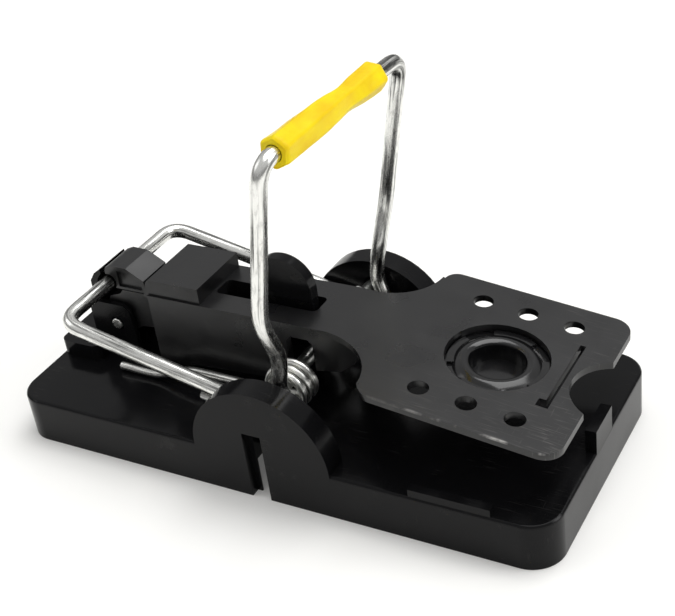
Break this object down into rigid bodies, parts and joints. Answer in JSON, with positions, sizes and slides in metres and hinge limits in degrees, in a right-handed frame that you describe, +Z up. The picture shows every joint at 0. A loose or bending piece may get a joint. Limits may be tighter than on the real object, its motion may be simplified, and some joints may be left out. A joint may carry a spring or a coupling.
{
  "type": "snap mouse trap",
  "caption": "Snap mouse trap with a moulded base, an upright sprung wire strike bar and a treadle pan that latches it set.",
  "frame": {"origin": "on the table, below the middle of the base", "axes": "+X along the base from the latch to the bait pan, +Y to the far side, +Z up"},
  "size_m": [0.096, 0.0438, 0.0601],
  "materials": {
    "black_plastic": "satin-gloss moulded black plastic",
    "zinc_wire": "bright zinc-plated drawn wire",
    "spring_wire": "bright zinc-plated spring wire",
    "yellow_sleeve": "yellow moulded plastic"
  },
  "bodies": {
    "base": {"base": "black_plastic", "near_spring": "spring_wire", "far_spring": "spring_wire", "treadle_pin": "zinc_wire"},
    "strike": {"strike_bar": "zinc_wire", "pivot_axle": "zinc_wire", "bar_sleeve": "yellow_sleeve", "near_spring_arm": "spring_wire", "far_spring_arm": "spring_wire"},
    "treadle": {"treadle": "black_plastic", "latch": "black_plastic", "bait_cup": "black_plastic"}
  },
  "joints": [
    {"name": "strike_swing", "type": "hinge", "parent": "base", "child": "strike", "pos_m": [0.001, 0, 0.0153], "axis": [0, 1, 0], "range_deg": [0, 66], "deforming": ["latch"]},
    {"name": "treadle_tip", "type": "hinge", "parent": "base", "child": "treadle", "pos_m": [-0.0374, 0, 0.0137], "axis": [0, 1, 0], "range_deg": [0, 4]}
  ]
}
